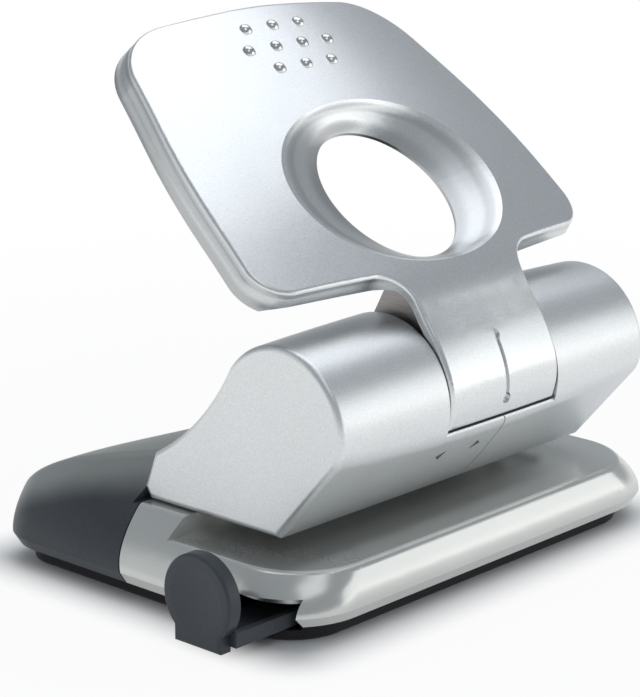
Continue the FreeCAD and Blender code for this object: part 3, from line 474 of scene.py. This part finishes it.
# ---------------------------------------------------------------- mesh helpers
def add_mesh(name, vertices, faces, material, smooth=True):
    """New object from vertices and faces, with one material."""
    mesh = bpy.data.meshes.new(name)
    mesh.from_pydata([tuple(v) for v in vertices], [], faces)
    mesh.update()
    mesh.materials.append(material)
    if smooth:
        mesh.shade_smooth()
    piece = bpy.data.objects.new(name, mesh)
    bpy.context.scene.collection.objects.link(piece)
    return piece


def coil_line(middle, radius, bottom, rise, turns):
    """Points of a coil around a vertical line through middle, whose end turns lie flat."""
    steps = int(turns * SPRING_POINTS)
    points = []
    for i in range(steps + 1):
        turned = turns * i / steps
        angle = 2.0 * math.pi * turned
        climbed = min(max((turned - SPRING_FLAT) / (turns - 2.0 * SPRING_FLAT), 0.0), 1.0)
        points.append(Vector((middle.x + radius * math.cos(angle), middle.y + radius * math.sin(angle),
                              bottom + rise * climbed)))
    return points


def tube_along(points, radius, sides):
    """Vertices and faces of a closed tube along a line of points."""
    vertices = []
    faces = []
    last = len(points) - 1
    side = Vector((0, 0, 1))
    for i, point in enumerate(points):
        along = (points[min(i + 1, last)] - points[max(i - 1, 0)]).normalized()
        across = along.cross(side).normalized()
        up = across.cross(along).normalized()
        for k in range(sides):
            angle = 2.0 * math.pi * k / sides
            vertices.append(point + (across * math.cos(angle) + up * math.sin(angle)) * radius)
    for i in range(last):
        for k in range(sides):
            a = i * sides + k
            b = i * sides + (k + 1) % sides
            faces.append((a, b, b + sides, a + sides))
    faces.append(tuple(range(sides - 1, -1, -1)))
    faces.append(tuple(last * sides + k for k in range(sides)))
    return vertices, faces


def on_shell(x, z):
    """Point of the ink's face on the sliding shell, straight behind x and z as seen from the front."""
    hit, point, normal, _ = NODES["housing_left"].ray_cast(Vector((x, BEFORE_SHELL, z)), Vector((0, 1, 0)))
    if not hit:
        raise RuntimeError("an arrow misses the shell")
    return point + normal * INK_THICKNESS


def arrow_mesh(foot, tip, z, half_width):
    """Vertices and faces of an arrow on the shell, from the middle of its foot to its tip."""
    vertices = []
    faces = []
    for row in range(ARROW_ROWS + 1):
        share = row / ARROW_ROWS
        x = foot + (tip - foot) * share
        half = half_width * (1.0 - share)
        vertices += [on_shell(x, z - half), on_shell(x, z + half)]
    for row in range(ARROW_ROWS):
        a = row * 2
        faces.append((a, a + 1, a + 3, a + 2))
    return vertices, faces


# ---------------------------------------------------------------- operators
class PunchOperator:
    """What the steps have in common"""
    bl_options = {"REGISTER", "UNDO"}


class PUNCH_OT_painted_silver(PunchOperator, bpy.types.Operator):
    """Paint the lever plate and both barrel shells satin silver"""
    bl_idname = "punch.painted_silver"
    bl_label = "Silver paint"

    def execute(self, context):
        c = colours()
        coat(["lever_plate"], lever_paint("lever_silver", c.silver, c.inside, roughness=0.30))
        coat(nodes_like("housing_"), barrel_paint("barrel_silver", c.silver, roughness=0.39))
        return {"FINISHED"}


class PUNCH_OT_base(PunchOperator, bpy.types.Operator):
    """Finish the base cover, the tail, the tray and the paper guide"""
    bl_idname = "punch.base"
    bl_label = "Base"

    def execute(self, context):
        c = colours()
        coat(["base_cover"], polished_silver("base_silver", c.cover, roughness=0.23))
        coat(["rear_cover"], tail_plastic("tail_plastic", c.anthracite, c.crest, roughness=0.42))
        coat(["paper_guide"], moulded_plastic("guide_plastic", c.anthracite, roughness=0.46))
        coat(["chip_tray"], moulded_plastic("tray_plastic", c.tray, roughness=0.6, gloss=0.15))
        return {"FINISHED"}


class PUNCH_OT_works(PunchOperator, bpy.types.Operator):
    """Finish the lever's arms, hub and domes, and the steel and plastic pieces inside"""
    bl_idname = "punch.works"
    bl_label = "Works"

    def execute(self, context):
        c = colours()
        sheet = plain_steel("sheet_steel", c.steel, roughness=0.34)
        ground = plain_steel("ground_steel", c.steel, roughness=0.22, lines=CROSS_LINES)
        chrome = plain_steel("stud_chrome", c.chrome, roughness=0.08, lines=NO_LINES)
        coat(["base_plate", "stripper_rail"] + nodes_like("bracket_") + nodes_like("guide_strap_"), sheet)
        coat(nodes_like("lever_web_"), plain_steel("arm_steel", c.arm, roughness=0.42))
        coat(["axle"] + nodes_like("axle_clip_") + nodes_like("base_screw_"), ground)
        coat(nodes_like("punch_pin_") + nodes_like("cam_") + nodes_like("die_block_"), ground)
        coat(nodes_like("grip_stud_"), chrome)
        coat(["lever_hub"], moulded_plastic("hub_plastic", c.hub, roughness=0.5))
        coat(nodes_like("guide_block_"), moulded_plastic("block_plastic", c.block, roughness=0.5))
        return {"FINISHED"}


class PUNCH_OT_springs(PunchOperator, bpy.types.Operator):
    """Wind the return springs around the punch pins"""
    bl_idname = "punch.springs"
    bl_label = "Springs"

    def execute(self, context):
        wire = sizes().spring_wire
        steel = plain_steel("spring_steel", colours().steel, roughness=0.28, lines=NO_LINES)
        for name in nodes_like("pin_spring_"):
            low, high = (Vector(corner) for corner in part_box(name))
            middle = (low + high) / 2.0
            height = high.z - low.z
            line = coil_line(middle, (high.x - low.x - wire) / 2.0, low.z + wire / 2.0, height - wire,
                             sizes().spring_turns)
            vertices, faces = tube_along(line, wire / 2.0, WIRE_SIDES)
            coil = add_mesh(name + "_coil", vertices, faces, steel)
            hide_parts(name)
            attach(coil, "base")
            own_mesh(coil)
        return {"FINISHED"}


class PUNCH_OT_marks(PunchOperator, bpy.types.Operator):
    """Print the two lock arrows on the sliding shell"""
    bl_idname = "punch.marks"
    bl_label = "Lock arrows"

    def execute(self, context):
        ink = printed_ink("arrow_ink", colours().ink)
        length = sizes().arrow_length
        for side, name in ((-1, "left"), (1, "right")):
            foot = ARROWS_X + side * sizes().arrow_gap / 2.0
            vertices, faces = arrow_mesh(foot, foot + side * length, ARROWS_Z, length * ARROW_HALF_WIDTH)
            arrow = add_mesh("lock_arrow_" + name, vertices, faces, ink)
            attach(arrow, "lock_shell")
        return {"FINISHED"}


class PUNCH_OT_stage(PunchOperator, bpy.types.Operator):
    """Set the floor, the studio light and the camera"""
    bl_idname = "punch.stage"
    bl_label = "Stage"

    def execute(self, context):
        self.floor()
        self.world(context.scene)
        self.lamps(context.scene)
        self.camera(context.scene)
        context.scene.view_settings.view_transform = "Standard"
        return {"FINISHED"}

    def floor(self):
        """Matt floor with the part's shadow beside the tray, which turns to plain white further out."""
        half = sizes().floor_size / 2.0
        s = Shader(bpy.data.materials.new("floor"))
        matt = s.node("ShaderNodeBsdfDiffuse", {}, {"Color": rgba(colours().floor)}).outputs[0]
        white = s.node("ShaderNodeEmission", {}, {"Color": WHITE, "Strength": 1.0}).outputs[0]
        low, high = (Vector(corner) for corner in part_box("chip_tray"))
        middle = (low + high) / 2.0
        away = s.distance((middle.x, middle.y, 0.0), (high.x - middle.x, high.y - middle.y, 1.0))
        far_off = away.ramp(FLOOR_NEAR, FLOOR_FAR)
        seen = away.ramp(0.0, SHADOW_REACH) * (1.0 - SHADOW_KEPT) + far_off * SHADOW_KEPT
        mirrored = away.ramp(0.0, MIRROR_FAR, MIRROR_NEAR, 1.0)
        share = s.ray_kind("Is Camera Ray") * seen + s.ray_kind("Is Glossy Ray") * mirrored
        surface = s.mix_surface(share, matt, white)
        floor = add_mesh("floor", [(-half, -half, 0), (half, -half, 0), (half, half, 0), (-half, half, 0)],
                         [(0, 1, 2, 3)], s.finish(surface), smooth=False)

    def world(self, scene):
        """Even ambient light, and a white backdrop where the floor ends."""
        s = Shader(bpy.data.worlds.new("studio"))
        direction = s.node("ShaderNodeTexCoord").outputs["Generated"]
        low_band = s.parts(direction)[2].ramp(*LOW_BAND, out_low=1.0, out_high=0.0)
        soft = s.node("ShaderNodeBackground", {}, {"Color": AMBIENT_TINT, "Strength": AMBIENT}).outputs[0]
        white = s.node("ShaderNodeBackground", {}, {"Color": WHITE, "Strength": 1.0}).outputs[0]
        share = s.ray_kind("Is Camera Ray") + s.ray_kind("Is Glossy Ray") * low_band
        scene.world = s.finish(s.mix_surface(share, soft, white), "ShaderNodeOutputWorld")

    def lamps(self, scene):
        """The soft boxes, each turned towards the part."""
        aim = Vector(LAMP_AIM)
        for name, place, width, height, brightness, tint in LAMPS:
            lamp = bpy.data.lights.new(name, "AREA")
            lamp.shape = "RECTANGLE"
            lamp.size = width
            lamp.size_y = height
            lamp.energy = brightness * math.pi * width * height    # power of a face of that brightness
            lamp.color = tint
            box = bpy.data.objects.new(name, lamp)
            box.location = place
            box.rotation_euler = (aim - Vector(place)).to_track_quat("-Z", "Y").to_euler()
            scene.collection.objects.link(box)

    def camera(self, scene):
        """The camera, at its distance from what it looks at."""
        lens = bpy.data.cameras.new("camera")
        lens.sensor_fit = "VERTICAL"
        lens.sensor_height = SENSOR
        lens.lens = CAMERA_FOCAL
        lens.clip_start, lens.clip_end = CAMERA_SEES
        camera = bpy.data.objects.new("camera", lens)
        azimuth = math.radians(CAMERA_AZIMUTH)
        elevation = math.radians(CAMERA_ELEVATION)
        away = Vector((math.sin(azimuth) * math.cos(elevation), -math.cos(azimuth) * math.cos(elevation),
                       math.sin(elevation)))
        camera.location = Vector(CAMERA_TARGET) + away * CAMERA_DISTANCE
        camera.rotation_euler = (-away).to_track_quat("-Z", "Y").to_euler()
        scene.collection.objects.link(camera)
        scene.camera = camera


class PUNCH_PT_panel(bpy.types.Panel):
    """List the steps, the sizes and the colours"""
    bl_idname = "PUNCH_PT_panel"
    bl_label = "Desk punch"
    bl_space_type = "VIEW_3D"
    bl_region_type = "UI"
    bl_category = "Punch"

    def draw(self, context):
        layout = self.layout
        for step in STEPS:
            layout.operator(step.bl_idname)
        for group in (context.scene.punch_sizes, context.scene.punch_colours):
            for name in group.__annotations__:
                layout.prop(group, name)


STEPS = (PUNCH_OT_stage, PUNCH_OT_painted_silver, PUNCH_OT_base, PUNCH_OT_works, PUNCH_OT_springs,
         PUNCH_OT_marks)
CLASSES = (PunchSizes, PunchColours) + STEPS + (PUNCH_PT_panel,)


def register():
    """Registers the classes and gives the scene its sizes and colours."""
    for cls in CLASSES:
        bpy.utils.register_class(cls)
    bpy.types.Scene.punch_sizes = PointerProperty(type=PunchSizes)
    bpy.types.Scene.punch_colours = PointerProperty(type=PunchColours)


def unregister():
    """Undoes register."""
    del bpy.types.Scene.punch_colours
    del bpy.types.Scene.punch_sizes
    for cls in reversed(CLASSES):
        bpy.utils.unregister_class(cls)


def main():
    """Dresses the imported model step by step."""
    register()
    for step in STEPS:
        group, name = step.bl_idname.split(".")
        getattr(getattr(bpy.ops, group), name)()


if __name__ == "__main__":
    main()
